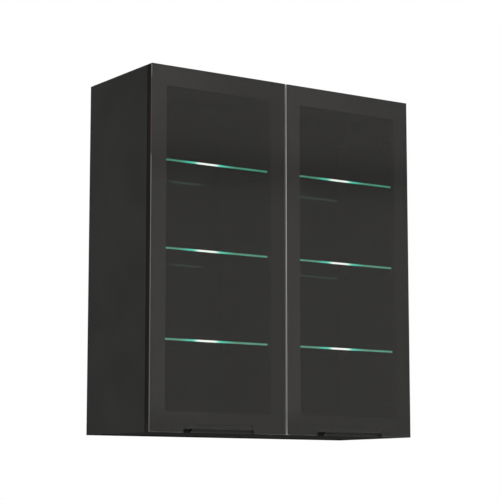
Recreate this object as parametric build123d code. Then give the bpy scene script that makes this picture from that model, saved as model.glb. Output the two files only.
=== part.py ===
from build123d import *
import os

# A wall-hung china cabinet with two glass doors and six lit glass shelves. Millimetres, +Z up.
# The origin lies on the wall plane, at the middle of the cabinet's bottom edge.
# +Y points into the wall, so the doors face -Y, and +X is the right-hand side of a person facing them.
# A side is -1 for the left half and +1 for the right half, so side * distance is an X coordinate.

# ---- overall size ----
WIDTH = 800.0
HEIGHT = 900.0
DEPTH = 310.0
SIDES = {"left": -1, "right": 1}

# ---- carcass ----
BOARD = 16.0
BACK_BOARD = 3.0
BACK_RECESS = 15.0
GROOVE_DEPTH = 5.0
GROOVE_PLAY = 0.5
SLIP = 0.1
EDGE_RADIUS = 0.8
PARTITION_SETBACK = 2.0

# ---- doors ----
PANE = 4.0
FRAME = 16.0
DOOR_GAP = 3.0
MEETING_GAP = 3.0
STILE = 44.0
RAIL = 50.0
PANE_CHAMFER = 0.4
BUMPER_RADIUS = 4.0
BUMPER_CLEARANCE = 0.3
BUMPER_FROM_EDGE = 18.5

# ---- finger grip in the bottom edge of each door ----
GRIP_LENGTH = 206.0
GRIP_NOTCH = 9.0
GRIP_NOTCH_RADIUS = 3.0
GRIP_POCKET_HEIGHT = 22.0
GRIP_FOOT_DEPTH = 6.0
GRIP_HEAD_DEPTH = 12.0
GRIP_END_POCKET = 25.0
GRIP_END_SLANT = 10.0
GRIP_END_DEPTH = 13.0
GRIP_PLATE = 1.6
GRIP_SCREW_HEIGHT = 15.0
GRIP_SCREW_RADIUS = 1.5
GRIP_SCREW_LENGTH = 6.0
GRIP_SCREW_HEAD = (3.0, 1.6)

# ---- shelves, as the heights of the middle of their glass ----
SHELF_HEIGHTS = {"top": 671.0, "middle": 451.0, "bottom": 227.0}
SHELF_GLASS = 6.0
SHELF_SETBACK = 35.0
SHELF_REAR = 22.0
SHELF_SIDE_GAP = 1.0
SHELF_CHAMFER = 0.5
PEG_RADIUS = 2.5
PEG_IN_BOARD = 7.5
PEG_BORE_SPARE = 1.0
PEG_BLOCK = (8.0, 8.0, 6.0)
PEG_BLOCK_RADIUS = 1.5
PEG_FRONT = 37.0
PEG_REAR = 60.0

# ---- light clip on the rear edge of each shelf ----
CLIP_LENGTH = 50.0
CLIP_HEIGHT = 11.0
CLIP_GRIP = 12.0
CLIP_BACK = 3.5
CLIP_RADIUS = 1.0
LENS = (40.0, 1.3, 3.0)

# ---- concealed hinges, two to a door ----
HINGE_HEIGHTS = (100.0, 800.0)
PIN_FROM_EDGE = 7.0
PIN_FROM_REAR = 8.5
PIN_RADIUS = 1.25
PIN_CLEARANCE = 0.05
PIN_HALF = 7.4
KNUCKLE_RADIUS = 2.5
LUG_GAP_HALF = 4.2
LUG_REACH = 2.7
ARM_HALF = 3.5
ARM_THICK = 8.5
ARM_NOSE_THICK = 2.8
ARM_NECK_BACK = 10.0
ARM_BODY_HALF = 8.0
ARM_BODY_START = 3.0
ARM_BODY_END = 25.0
ARM_BODY_RADIUS = 3.0
CUP_FROM_EDGE = 20.5
CUP_RADIUS = 17.5
CUP_WALL = 0.5
CUP_DEPTH = 12.5
CUP_FLOOR = 1.0
FLANGE = 0.6
FLANGE_RADIUS = 18.2
FLANGE_PAST_PIN = 2.0
FLANGE_WING_HALF = 6.0
FLANGE_WING_RADIUS = 5.0
CUP_SCREW_OFFSET = 9.5
CUP_SCREW_HALF = 24.0
CUP_SCREW_RADIUS = 1.75
CUP_SCREW_HEAD = (3.5, 0.9)
CUP_SCREW_DRIVE = (1.2, 0.6)

# ---- hinge mounting plates, a cross of a block and a wing about the row of their screws ----
PLATE_THICK = 2.5
PLATE_FROM_FRONT = 37.0
PLATE_HALF = 9.0
PLATE_BEFORE_ROW = 12.0
PLATE_BEHIND_ROW = 22.0
WING_HALF = 25.0
WING_DEPTH_HALF = 6.0
WING_RADIUS = 4.0
PLATE_SCREW_HALF = 16.0
PLATE_SCREW_HEAD = (4.0, 1.6)
CLAMP_BEHIND_ROW = 14.0
CLAMP_SCREW_HEAD = (4.0, 2.0)
ADJUSTER_BEFORE_ROW = 16.0
ADJUSTER_RADIUS = 3.0
ADJUSTER_DEPTH = 2.0
ADJUSTER_LENGTH = 1.6
ADJUSTER_DRIVE = (1.2, 1.0)

# ---- joinery: distances of fasteners behind the carcass's front edge ----
FASTENER_ROWS = (47.0, 227.0)
DOWEL_ROWS = (79.0, 195.0)
DOWEL_RADIUS = 4.0
DOWEL_IN_SIDE = 10.0
DOWEL_IN_PANEL = 20.0
CAM_RADIUS = 7.5
CAM_HEIGHT = 11.3
CAP_THICK = 1.2
CAM_FROM_SIDE = 24.0
BOLT_RADIUS = 3.0
BOLT_PAST_CAM = 3.0
THREAD_RADIUS = 2.5
THREAD_IN_SIDE = 10.5
PILOT_DEPTH = 11.0
DRIVE_RADIUS = 1.4
DRIVE_DEPTH = 1.1
FRAME_DOWEL_DEPTH = 15.0
FRAME_DOWEL_FROM_EDGE = 12.0

# ---- long screws through the top and bottom boards into the partition ----
PARTITION_SCREW = 50.0
PARTITION_PILOT = 36.0
PARTITION_SHANK = 3.5
PARTITION_HEAD = (5.0, 3.0)
PARTITION_DRIVE = (1.6, 2.0)

# ---- wall hangers in the upper rear corners ----
HANGER_WIDTH = 22.0
HANGER_DEPTH = 48.0
HANGER_HEIGHT = 62.0
HOOK_WIDTH = 13.0
HOOK_THICK = 2.5
HOOK_LEVEL = 849.0
HOOK_LIP = 14.5
HOOK_FROM_WALL = 6.0
HOOK_FROM_FRONT = 20.0
HOOK_CAVITY = (-3.0, 4.0)
HOOK_CAVITY_FROM_FRONT = 18.0
HOOK_SIDE_PLAY = 0.5
HOOK_SLOT = (-6.0, 7.0)
HOOK_SLOT_PLAY = 1.5
HANGER_RADIUS = 2.5
HANGER_SCREWS_FROM_BACK = 12.0
HANGER_SCREWS_FROM_ENDS = (9.0, 8.0)
HANGER_SCREW_HEAD = (4.0, 2.0)
HANGER_ADJUSTERS = (17.0, -15.0)
HANGER_ADJUSTER_RADIUS = 4.0
HANGER_ADJUSTER_SPAN = (1.0, 11.0)
CROSS_SLOT = (2.6, 0.6, 1.6)

# ---- cable grommets in the back board ----
GROMMET_HEIGHT = 40.0
GROMMET_BORE = 8.0
GROMMET_NECK = 12.0
GROMMET_FLANGE = 15.0
GROMMET_FLANGE_THICK = 1.5

# ---- planes worked out from the sizes above ----
HALF = WIDTH / 2
INNER = HALF - BOARD
PANE_FRONT = -DEPTH
FRAME_FRONT = PANE_FRONT + PANE
FRAME_REAR = FRAME_FRONT + FRAME
FRAME_MIDDLE = (FRAME_FRONT + FRAME_REAR) / 2
CARCASS_FRONT = FRAME_REAR + DOOR_GAP
BAY_TOP = HEIGHT - BOARD
BACK_REAR = -BACK_RECESS
BACK_FRONT = BACK_REAR - BACK_BOARD
DOOR_INNER = MEETING_GAP / 2
DOOR_MIDDLE = (HALF + DOOR_INNER) / 2
BAY_MIDDLE = (INNER + BOARD / 2) / 2
PIN_X = HALF - PIN_FROM_EDGE
PIN_Y = FRAME_REAR - PIN_FROM_REAR
CUP_X = HALF - CUP_FROM_EDGE
ARM_OUTER = INNER - PLATE_THICK
ARM_INNER = ARM_OUTER - ARM_THICK
PLATE_ROW = CARCASS_FRONT + PLATE_FROM_FRONT
CLAMP_Y = PLATE_ROW + CLAMP_BEHIND_ROW
ADJUSTER_Y = PLATE_ROW - ADJUSTER_BEFORE_ROW
HANGER_FRONT = BACK_FRONT - HANGER_DEPTH
HANGER_X = INNER - HANGER_WIDTH / 2
PEG_ROWS = (CARCASS_FRONT + PEG_FRONT, -PEG_REAR)


def block(x0, x1, y0, y1, z0, z1):
    """A block between two opposite corners."""
    centre = Pos((x0 + x1) / 2, (y0 + y1) / 2, (z0 + z1) / 2)
    return centre * Box(abs(x1 - x0), abs(y1 - y0), abs(z1 - z0))


def rod_x(x0, x1, y, z, radius):
    return Pos((x0 + x1) / 2, y, z) * Rot(0, 90, 0) * Cylinder(radius, abs(x1 - x0))


def rod_y(y0, y1, x, z, radius):
    return Pos(x, (y0 + y1) / 2, z) * Rot(90, 0, 0) * Cylinder(radius, abs(y1 - y0))


def rod_z(z0, z1, x, y, radius):
    return Pos(x, y, (z0 + z1) / 2) * Cylinder(radius, abs(z1 - z0))


def screw_x(seat, tip, y, z, head):
    """A screw along X with a drive recess in its head, which is (radius, height) and lies on the seat."""
    radius, height = head
    away = 1 if seat > tip else -1
    top = seat + away * height
    screw = rod_x(seat, top, y, z, radius) + rod_x(seat, tip, y, z, THREAD_RADIUS)
    return screw - rod_x(top, top - away * DRIVE_DEPTH, y, z, DRIVE_RADIUS)


def profile_along_x(points, x0, x1):
    """A prism along X whose outline is a list of (y, z) points."""
    outline = Polyline(*[(0, y, z) for y, z in points], close=True)
    return Pos(min(x0, x1), 0, 0) * extrude(make_face(outline), amount=abs(x1 - x0), dir=(1, 0, 0))


def save(name, *pieces):
    """Write one sub-part. Several pieces stay separate solids in one group."""
    solids = [solid for piece in pieces for solid in piece.solids()]
    shape = solids[0] if len(solids) == 1 else Compound(solids)
    export_step(shape, f"parts/{name}.step")


def shelf_peg_places():
    """The (y, z) of every peg in one upright board: two to a shelf."""
    drop = SHELF_GLASS / 2 + PEG_BLOCK[2] / 2
    return [(y, height - drop) for height in SHELF_HEIGHTS.values() for y in PEG_ROWS]


def fastener_rows(rows):
    return [CARCASS_FRONT + row for row in rows]


# ---- carcass boards ----
def side_panel(side):
    board = block(side * INNER, side * HALF, CARCASS_FRONT, 0, 0, HEIGHT)
    board = fillet(board.edges().filter_by(Axis.Z).sort_by(Axis.Y)[:2], EDGE_RADIUS)
    groove_end = BOARD - GROOVE_DEPTH
    board -= block(
        side * INNER, side * (INNER + GROOVE_DEPTH), BACK_FRONT - SLIP, BACK_REAR + SLIP,
        groove_end, HEIGHT - groove_end,
    )
    for y, z in shelf_peg_places():
        bore_end = side * (INNER + PEG_IN_BOARD + PEG_BORE_SPARE)
        board -= rod_x(side * INNER, bore_end, y, z, PEG_RADIUS + SLIP / 2)
    pilot_end = side * (INNER + PILOT_DEPTH)
    for level in (BOARD / 2, HEIGHT - BOARD / 2):
        for y in fastener_rows(FASTENER_ROWS):
            board -= rod_x(side * INNER, pilot_end, y, level, THREAD_RADIUS)
        for y in fastener_rows(DOWEL_ROWS):
            board -= rod_x(side * INNER, side * (INNER + DOWEL_IN_SIDE), y, level, DOWEL_RADIUS)
    for height in HINGE_HEIGHTS:
        for z in (height - PLATE_SCREW_HALF, height + PLATE_SCREW_HALF):
            board -= rod_x(side * INNER, pilot_end, PLATE_ROW, z, THREAD_RADIUS)
    for y, z in hanger_screw_places():
        board -= rod_x(side * INNER, pilot_end, y, z, THREAD_RADIUS)
    return board


def cross_panel(low, cam_face, inner_face, outer_face):
    """The top or the bottom board. cam_face is the level that its cam locks open onto."""
    middle = low + BOARD / 2
    board = block(-INNER, INNER, CARCASS_FRONT, 0, low, low + BOARD)
    board = fillet(board.edges().filter_by(Axis.X).sort_by(Axis.Y)[:2], EDGE_RADIUS)
    into = 1 if outer_face > inner_face else -1
    board -= block(
        -INNER, INNER, BACK_FRONT - SLIP, BACK_REAR + SLIP,
        inner_face, inner_face + into * GROOVE_DEPTH,
    )
    cam_floor = cam_face - CAM_HEIGHT - CAP_THICK - SLIP
    head_radius, head_height = PARTITION_HEAD
    for y in fastener_rows(FASTENER_ROWS):
        for side in SIDES.values():
            board -= rod_z(cam_floor, cam_face, side * (INNER - CAM_FROM_SIDE), y, CAM_RADIUS + SLIP)
            board -= rod_x(
                side * (INNER - CAM_FROM_SIDE), side * INNER, y, middle, BOLT_RADIUS + SLIP
            )
        board -= rod_z(inner_face, outer_face, 0, y, PARTITION_SHANK + SLIP)
        board -= rod_z(outer_face - into * head_height, outer_face, 0, y, head_radius + SLIP)
    for y in fastener_rows(DOWEL_ROWS):
        for side in SIDES.values():
            board -= rod_x(side * (INNER - DOWEL_IN_PANEL), side * INNER, y, middle, DOWEL_RADIUS)
        board -= rod_z(inner_face, inner_face + into * DOWEL_IN_SIDE, 0, y, DOWEL_RADIUS)
    return board


def centre_partition():
    half = BOARD / 2
    front = CARCASS_FRONT + PARTITION_SETBACK
    board = block(-half, half, front, BACK_FRONT, BOARD, BAY_TOP)
    front_edges = board.edges().filter_by(Axis.Z).sort_by(Axis.Y)[:2]
    board = fillet(front_edges, EDGE_RADIUS)
    for y, z in shelf_peg_places():
        board -= rod_x(-half, half, y, z, PEG_RADIUS + SLIP / 2)
    for end, into in ((BOARD, 1), (BAY_TOP, -1)):
        for y in fastener_rows(FASTENER_ROWS):
            board -= rod_z(end, end + into * PARTITION_PILOT, 0, y, THREAD_RADIUS)
        for y in fastener_rows(DOWEL_ROWS):
            board -= rod_z(end, end + into * DOWEL_IN_PANEL, 0, y, DOWEL_RADIUS)
    return board


def back_panel():
    in_groove = GROOVE_DEPTH - GROOVE_PLAY
    reach = INNER + in_groove
    low = BOARD - in_groove
    board = block(-reach, reach, BACK_FRONT, BACK_REAR, low, HEIGHT - low)
    slot_half = HOOK_WIDTH / 2 + HOOK_SLOT_PLAY
    slot_low, slot_high = HOOK_SLOT
    for side in SIDES.values():
        board -= block(
            side * (HANGER_X - slot_half), side * (HANGER_X + slot_half), BACK_FRONT, BACK_REAR,
            HOOK_LEVEL + slot_low, HOOK_LEVEL + slot_high,
        )
        board -= rod_y(BACK_FRONT, BACK_REAR, side * BAY_MIDDLE, GROMMET_HEIGHT, GROMMET_NECK)
    return board


# ---- fasteners inside the carcass ----
def cam_locks_bolts_and_caps():
    """Cam locks with the bolts that they pull and the flush caps that hide them."""
    locks, bolts, caps = [], [], []
    for cam_face, level in ((HEIGHT, HEIGHT - BOARD / 2), (BOARD, BOARD / 2)):
        for side in SIDES.values():
            cam_x = INNER - CAM_FROM_SIDE
            for y in fastener_rows(FASTENER_ROWS):
                lock_top = cam_face - CAP_THICK
                lock = rod_z(lock_top - CAM_HEIGHT, lock_top, side * cam_x, y, CAM_RADIUS)
                bolt_end = side * (cam_x - BOLT_PAST_CAM)
                lock -= rod_x(bolt_end - side, side * INNER, y, level, BOLT_RADIUS + SLIP)
                locks.append(lock)
                bolt = rod_x(bolt_end, side * INNER, y, level, BOLT_RADIUS)
                bolt += rod_x(side * INNER, side * (INNER + THREAD_IN_SIDE), y, level, THREAD_RADIUS)
                bolts.append(bolt)
                caps.append(rod_z(lock_top, cam_face, side * cam_x, y, CAM_RADIUS))
    return locks, bolts, caps


def carcass_dowels():
    pegs = []
    for y in fastener_rows(DOWEL_ROWS):
        for side in SIDES.values():
            for level in (BOARD / 2, HEIGHT - BOARD / 2):
                inner, outer = INNER - DOWEL_IN_PANEL, INNER + DOWEL_IN_SIDE
                pegs.append(rod_x(side * inner, side * outer, y, level, DOWEL_RADIUS))
        pegs.append(rod_z(BOARD - DOWEL_IN_SIDE, BOARD + DOWEL_IN_PANEL, 0, y, DOWEL_RADIUS))
        pegs.append(rod_z(BAY_TOP - DOWEL_IN_PANEL, BAY_TOP + DOWEL_IN_SIDE, 0, y, DOWEL_RADIUS))
    return pegs


def partition_screws():
    """Screws through the top and bottom boards into the ends of the partition."""
    head_radius, head_height = PARTITION_HEAD
    drive_radius, drive_depth = PARTITION_DRIVE
    screws = []
    for outer, into in ((0, 1), (HEIGHT, -1)):
        under_head = outer + into * head_height
        shank_end = outer + into * BOARD
        for y in fastener_rows(FASTENER_ROWS):
            screw = rod_z(outer, under_head, 0, y, head_radius)
            screw += rod_z(under_head, shank_end, 0, y, PARTITION_SHANK)
            screw += rod_z(shank_end, outer + into * PARTITION_SCREW, 0, y, THREAD_RADIUS)
            screws.append(screw - rod_z(outer, outer + into * drive_depth, 0, y, drive_radius))
    return screws


# ---- shelves ----
def shelf(side, height):
    inner, outer = BOARD / 2 + SHELF_SIDE_GAP, INNER - SHELF_SIDE_GAP
    glass = block(
        side * inner, side * outer, PANE_FRONT + SHELF_SETBACK, -SHELF_REAR,
        height - SHELF_GLASS / 2, height + SHELF_GLASS / 2,
    )
    front_edges = glass.edges().filter_by(Axis.X).sort_by(Axis.Y)[:2]
    return chamfer(front_edges, SHELF_CHAMFER)


def shelf_pegs(side):
    reach, width, height = PEG_BLOCK
    pegs = []
    for face, out in ((side * INNER, side), (side * BOARD / 2, -side)):
        for y, z in shelf_peg_places():
            peg = rod_x(face, face + out * PEG_IN_BOARD, y, z, PEG_RADIUS)
            head = block(
                face, face - out * reach, y - width / 2, y + width / 2,
                z - height / 2, z + height / 2,
            )
            lower_edges = head.edges().filter_by(Axis.Y).sort_by(Axis.Z)[:2]
            pegs.append(peg + fillet(lower_edges, PEG_BLOCK_RADIUS))
    return pegs


def light_clips_and_lenses(side):
    """A clip pushed over the rear edge of each shelf, with a lens against the glass."""
    middle = side * BAY_MIDDLE
    clips, lenses = [], []
    length, thick, tall = LENS
    for height in SHELF_HEIGHTS.values():
        clip = block(
            middle - CLIP_LENGTH / 2, middle + CLIP_LENGTH / 2,
            -SHELF_REAR - CLIP_GRIP, -SHELF_REAR + CLIP_BACK,
            height - CLIP_HEIGHT / 2, height + CLIP_HEIGHT / 2,
        )
        clip = fillet(clip.edges().filter_by(Axis.X), CLIP_RADIUS)
        half_slot = SHELF_GLASS / 2 + SLIP / 2
        clip -= block(
            middle - CLIP_LENGTH / 2, middle + CLIP_LENGTH / 2,
            -SHELF_REAR - CLIP_GRIP, -SHELF_REAR, height - half_slot, height + half_slot,
        )
        clip -= block(
            middle - length / 2, middle + length / 2, -SHELF_REAR, -SHELF_REAR + thick,
            height - tall / 2, height + tall / 2,
        )
        clips.append(clip)
        lens = block(
            middle - length / 2 + SLIP, middle + length / 2 - SLIP,
            -SHELF_REAR + SLIP, -SHELF_REAR + thick,
            height - tall / 2 + SLIP, height + tall / 2 - SLIP,
        )
        lenses.append(lens)
    return clips, lenses


# ---- door frame ----
def hinge_stile(side):
    stile = block(side * (HALF - STILE), side * HALF, FRAME_FRONT, FRAME_REAR, 0, HEIGHT)
    outer_rear_edge = stile.edges().filter_by(Axis.Z).sort_by(Axis.Y)[2:]
    stile = fillet(outer_rear_edge, EDGE_RADIUS)
    for height in HINGE_HEIGHTS:
        floor = FRAME_REAR - CUP_DEPTH - SLIP
        stile -= rod_y(floor, FRAME_REAR, side * CUP_X, height, CUP_RADIUS + SLIP)
        for x, z in cup_screw_places(side, height):
            stile -= rod_y(FRAME_REAR - PILOT_DEPTH, FRAME_REAR, x, z, CUP_SCREW_RADIUS)
    joint = HALF - STILE
    for z in frame_dowel_heights():
        stile -= rod_x(side * joint, side * (joint + FRAME_DOWEL_DEPTH), FRAME_MIDDLE, z, DOWEL_RADIUS)
    return stile


def meeting_stile(side):
    outer = DOOR_INNER + STILE
    stile = block(side * DOOR_INNER, side * outer, FRAME_FRONT, FRAME_REAR, 0, HEIGHT)
    stile = fillet(stile.edges().filter_by(Axis.Z).sort_by(Axis.Y)[2:], EDGE_RADIUS)
    for z in frame_dowel_heights():
        stile -= rod_x(side * (outer - FRAME_DOWEL_DEPTH), side * outer, FRAME_MIDDLE, z, DOWEL_RADIUS)
    return stile


def rail(side, low):
    inner, outer = DOOR_INNER + STILE, HALF - STILE
    bar = block(side * inner, side * outer, FRAME_FRONT, FRAME_REAR, low, low + RAIL)
    bar = fillet(bar.edges().filter_by(Axis.X).sort_by(Axis.Y)[2:], EDGE_RADIUS)
    depth = FRAME_DOWEL_DEPTH
    for z in frame_dowel_heights():
        if low < z < low + RAIL:
            bar -= rod_x(side * inner, side * (inner + depth), FRAME_MIDDLE, z, DOWEL_RADIUS)
            bar -= rod_x(side * (outer - depth), side * outer, FRAME_MIDDLE, z, DOWEL_RADIUS)
    return bar


def frame_dowel_heights():
    """The heights of the dowels between a door's stiles and rails, two to a corner."""
    inset = FRAME_DOWEL_FROM_EDGE
    return (inset, RAIL - inset, HEIGHT - RAIL + inset, HEIGHT - inset)


def frame_dowels(side):
    pegs = []
    for joint in (DOOR_INNER + STILE, HALF - STILE):
        ends = side * (joint - FRAME_DOWEL_DEPTH), side * (joint + FRAME_DOWEL_DEPTH)
        for z in frame_dowel_heights():
            pegs.append(rod_x(*ends, FRAME_MIDDLE, z, DOWEL_RADIUS))
    return pegs


def pane(side):
    """The glass that covers the whole door, with a shallow notch in its bottom edge."""
    middle = side * DOOR_MIDDLE
    half = GRIP_LENGTH / 2
    glass = block(side * DOOR_INNER, side * HALF, PANE_FRONT, FRAME_FRONT, 0, HEIGHT)
    glass = chamfer(glass.faces().sort_by(Axis.Y)[0].edges(), PANE_CHAMFER)
    notch = block(middle - half, middle + half, PANE_FRONT, FRAME_FRONT, -GRIP_NOTCH, GRIP_NOTCH)
    upper_corners = notch.edges().filter_by(Axis.Y).sort_by(Axis.Z)[2:]
    return glass - fillet(upper_corners, GRIP_NOTCH_RADIUS)


def bumpers(side):
    x = side * (DOOR_INNER + BUMPER_FROM_EDGE)
    rear = CARCASS_FRONT - BUMPER_CLEARANCE
    return [rod_y(FRAME_REAR, rear, x, z, BUMPER_RADIUS) for z in (BOARD / 2, HEIGHT - BOARD / 2)]


# ---- finger grip ----
def grip_slope(lead):
    """The grip's sloping face, lead in front of the wood: its foot and its head as (y, z)."""
    foot = (FRAME_FRONT + GRIP_FOOT_DEPTH - lead, 0)
    head = (FRAME_FRONT + GRIP_HEAD_DEPTH - lead, GRIP_POCKET_HEIGHT)
    return foot, head


def grip_pocket(side):
    """The wood cut away behind the notch: a slope, and a deeper pocket at its left end."""
    start = side * DOOR_MIDDLE - GRIP_LENGTH / 2
    foot, head = grip_slope(0)
    front = FRAME_FRONT
    slope = [(front, 0), foot, head, (front, GRIP_POCKET_HEIGHT)]
    pocket = profile_along_x(slope, start, start + GRIP_LENGTH)
    end = GRIP_END_POCKET + GRIP_END_SLANT
    return pocket + block(start, start + end, front, front + GRIP_END_DEPTH, 0, GRIP_POCKET_HEIGHT)


def grip_plate(side):
    """A plate that lines the slope. Inside the notch it is cut away on a slant over the end pocket."""
    start = side * DOOR_MIDDLE - GRIP_LENGTH / 2
    (foot_y, low), (head_y, high) = grip_slope(GRIP_PLATE)
    outline = [(foot_y, low), (foot_y + GRIP_PLATE, low), (head_y + GRIP_PLATE, high), (head_y, high)]
    plate = profile_along_x(outline, start, start + GRIP_LENGTH)
    pocket_end = start + GRIP_END_POCKET
    slant_end = pocket_end + GRIP_END_SLANT
    corners = [(start, low), (pocket_end, low), (slant_end, GRIP_NOTCH), (start, GRIP_NOTCH)]
    opening = make_face(Polyline(*[(x, FRAME_FRONT, z) for x, z in corners], close=True))
    plate -= extrude(opening, amount=FRAME, dir=(0, 1, 0))
    for place in grip_screw_places(side):
        plate -= place * Cylinder(GRIP_SCREW_RADIUS + SLIP, GRIP_SCREW_LENGTH)
    return plate


def grip_screw_places(side):
    """Where two screws stand square on the slope, hidden above the notch."""
    (foot_y, _), (head_y, high) = grip_slope(GRIP_PLATE)
    run = head_y - foot_y
    y = foot_y + run * GRIP_SCREW_HEIGHT / high
    places = []
    for shift in (-GRIP_LENGTH / 4, GRIP_LENGTH / 3):
        x = side * DOOR_MIDDLE + shift
        places.append(Plane(origin=(x, y, GRIP_SCREW_HEIGHT), z_dir=(0, -high, run)).location)
    return places


def grip_screws(side):
    radius, height = GRIP_SCREW_HEAD
    screws = []
    for place in grip_screw_places(side):
        head = Pos(0, 0, height / 2) * Cylinder(radius, height)
        head -= Pos(0, 0, height) * Cylinder(DRIVE_RADIUS, DRIVE_DEPTH)
        shank = Pos(0, 0, -GRIP_SCREW_LENGTH / 2) * Cylinder(GRIP_SCREW_RADIUS, GRIP_SCREW_LENGTH)
        screws.append(place * (head + shank))
    return screws


def bottom_rail(side):
    bar = rail(side, 0) - grip_pocket(side)
    for place in grip_screw_places(side):
        pilot = Cylinder(GRIP_SCREW_RADIUS, GRIP_SCREW_LENGTH + SLIP)
        bar -= place * Pos(0, 0, -GRIP_SCREW_LENGTH / 2) * pilot
    return bar


# ---- hinges ----
def cup_screw_places(side, height):
    x = side * (CUP_X - CUP_SCREW_OFFSET)
    return [(x, height - CUP_SCREW_HALF), (x, height + CUP_SCREW_HALF)]


def hinge_cup(side, height):
    """A round cup sunk in the stile, with two lugs that hold the pin and a flange for its screws."""
    floor = FRAME_REAR - CUP_DEPTH
    flange_top = FRAME_REAR + FLANGE
    middle_x, outer_x = side * CUP_X, side * HALF
    cup = rod_y(floor, FRAME_REAR, middle_x, height, CUP_RADIUS)
    wing_x = CUP_X - CUP_SCREW_OFFSET
    wing_half = CUP_SCREW_HALF + FLANGE_WING_HALF
    wing = block(
        side * (wing_x - FLANGE_WING_HALF), side * (wing_x + FLANGE_WING_HALF),
        FRAME_REAR, flange_top, height - wing_half, height + wing_half,
    )
    flange = rod_y(FRAME_REAR, flange_top, middle_x, height, FLANGE_RADIUS)
    flange += fillet(wing.edges().filter_by(Axis.Y), FLANGE_WING_RADIUS)
    flange -= block(
        side * (PIN_X - FLANGE_PAST_PIN), outer_x, FRAME_REAR, flange_top,
        height - wing_half, height + wing_half,
    )
    cavity = rod_y(floor + CUP_FLOOR, flange_top, middle_x, height, CUP_RADIUS - CUP_WALL)
    lugs = rod_y(floor + CUP_FLOOR, PIN_Y + KNUCKLE_RADIUS, middle_x, height, CUP_RADIUS - CUP_WALL)
    lugs &= block(
        side * (PIN_X - LUG_REACH), outer_x, floor, FRAME_REAR, height - PIN_HALF, height + PIN_HALF
    )
    lugs -= block(
        side * (PIN_X - 2 * LUG_REACH), outer_x, floor, FRAME_REAR,
        height - LUG_GAP_HALF, height + LUG_GAP_HALF,
    )
    cup = cup + flange - cavity + lugs - hinge_pin(side, height)
    for x, z in cup_screw_places(side, height):
        cup -= rod_y(FRAME_REAR, flange_top, x, z, CUP_SCREW_RADIUS + SLIP)
    return cup


def hinge_pin(side, height):
    return rod_z(height - PIN_HALF, height + PIN_HALF, side * PIN_X, PIN_Y, PIN_RADIUS)


def cup_screws(side, height):
    """Wood screws with low heads that sit on the flange."""
    seat = FRAME_REAR + FLANGE
    head_radius, head_height = CUP_SCREW_HEAD
    drive_radius, drive_depth = CUP_SCREW_DRIVE
    top = seat + head_height
    screws = []
    for x, z in cup_screw_places(side, height):
        screw = rod_y(seat, top, x, z, head_radius)
        screw += rod_y(FRAME_REAR - PILOT_DEPTH, seat, x, z, CUP_SCREW_RADIUS)
        screws.append(screw - rod_y(top - drive_depth, top, x, z, drive_radius))
    return screws


def hinge_plate(side, height):
    """A cross-shaped mounting plate on the inside of the side panel."""
    inner, outer = side * ARM_OUTER, side * INNER
    plate = block(
        inner, outer, PLATE_ROW - PLATE_BEFORE_ROW, PLATE_ROW + PLATE_BEHIND_ROW,
        height - PLATE_HALF, height + PLATE_HALF,
    )
    wing = block(
        inner, outer, PLATE_ROW - WING_DEPTH_HALF, PLATE_ROW + WING_DEPTH_HALF,
        height - WING_HALF, height + WING_HALF,
    )
    plate += fillet(wing.edges().filter_by(Axis.X), WING_RADIUS)
    for z in (height - PLATE_SCREW_HALF, height + PLATE_SCREW_HALF):
        plate -= rod_x(inner, outer, PLATE_ROW, z, THREAD_RADIUS + SLIP)
    return plate - rod_x(inner, outer, CLAMP_Y, height, THREAD_RADIUS + SLIP)


def hinge_arm(side, height):
    """An arm that leaves the cabinet beside its front edge and hooks outward to the pin."""
    nose = PIN_Y - KNUCKLE_RADIUS
    low, high = height - ARM_HALF, height + ARM_HALF
    outer_x, inner_x = side * ARM_OUTER, side * ARM_INNER
    arm = rod_z(low, high, side * PIN_X, PIN_Y, KNUCKLE_RADIUS)
    arm += block(side * PIN_X, inner_x, nose, nose + ARM_NOSE_THICK, low, high)
    arm += block(outer_x, inner_x, nose, CARCASS_FRONT + ARM_NECK_BACK, low, high)
    body = block(
        outer_x, inner_x, CARCASS_FRONT + ARM_BODY_START, PLATE_ROW + ARM_BODY_END,
        height - ARM_BODY_HALF, height + ARM_BODY_HALF,
    )
    arm += fillet(body.edges().filter_by(Axis.X), ARM_BODY_RADIUS)
    arm -= rod_z(low, high, side * PIN_X, PIN_Y, PIN_RADIUS + PIN_CLEARANCE)
    arm -= rod_x(outer_x, inner_x, CLAMP_Y, height, THREAD_RADIUS + SLIP)
    socket_floor = side * (ARM_INNER + ADJUSTER_DEPTH)
    return arm - rod_x(socket_floor, inner_x, ADJUSTER_Y, height, ADJUSTER_RADIUS)


def hinge_screws(side, height):
    """Two screws that hold the mounting plate, one that clamps the arm on it and one that adjusts it."""
    screws = []
    for z in (height - PLATE_SCREW_HALF, height + PLATE_SCREW_HALF):
        tip = side * (INNER + THREAD_IN_SIDE)
        screws.append(screw_x(side * ARM_OUTER, tip, PLATE_ROW, z, PLATE_SCREW_HEAD))
    screws.append(screw_x(side * ARM_INNER, side * INNER, CLAMP_Y, height, CLAMP_SCREW_HEAD))
    return screws + [arm_adjuster(side, height)]


def arm_adjuster(side, height):
    """A short grub screw in the arm's socket."""
    drive_radius, drive_depth = ADJUSTER_DRIVE
    floor = ARM_INNER + ADJUSTER_DEPTH
    top = floor - ADJUSTER_LENGTH
    body = rod_x(side * floor, side * top, ADJUSTER_Y, height, ADJUSTER_RADIUS - SLIP)
    drive_floor = side * (top + drive_depth)
    return body - rod_x(side * top, drive_floor, ADJUSTER_Y, height, drive_radius)


# ---- wall hangers ----
def hanger_screw_places():
    """The (y, z) of the two screws that fasten each hanger to its side panel."""
    from_top, from_bottom = HANGER_SCREWS_FROM_ENDS
    y = BACK_FRONT - HANGER_SCREWS_FROM_BACK
    return [(y, BAY_TOP - from_top), (y, BAY_TOP - HANGER_HEIGHT + from_bottom)]


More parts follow.
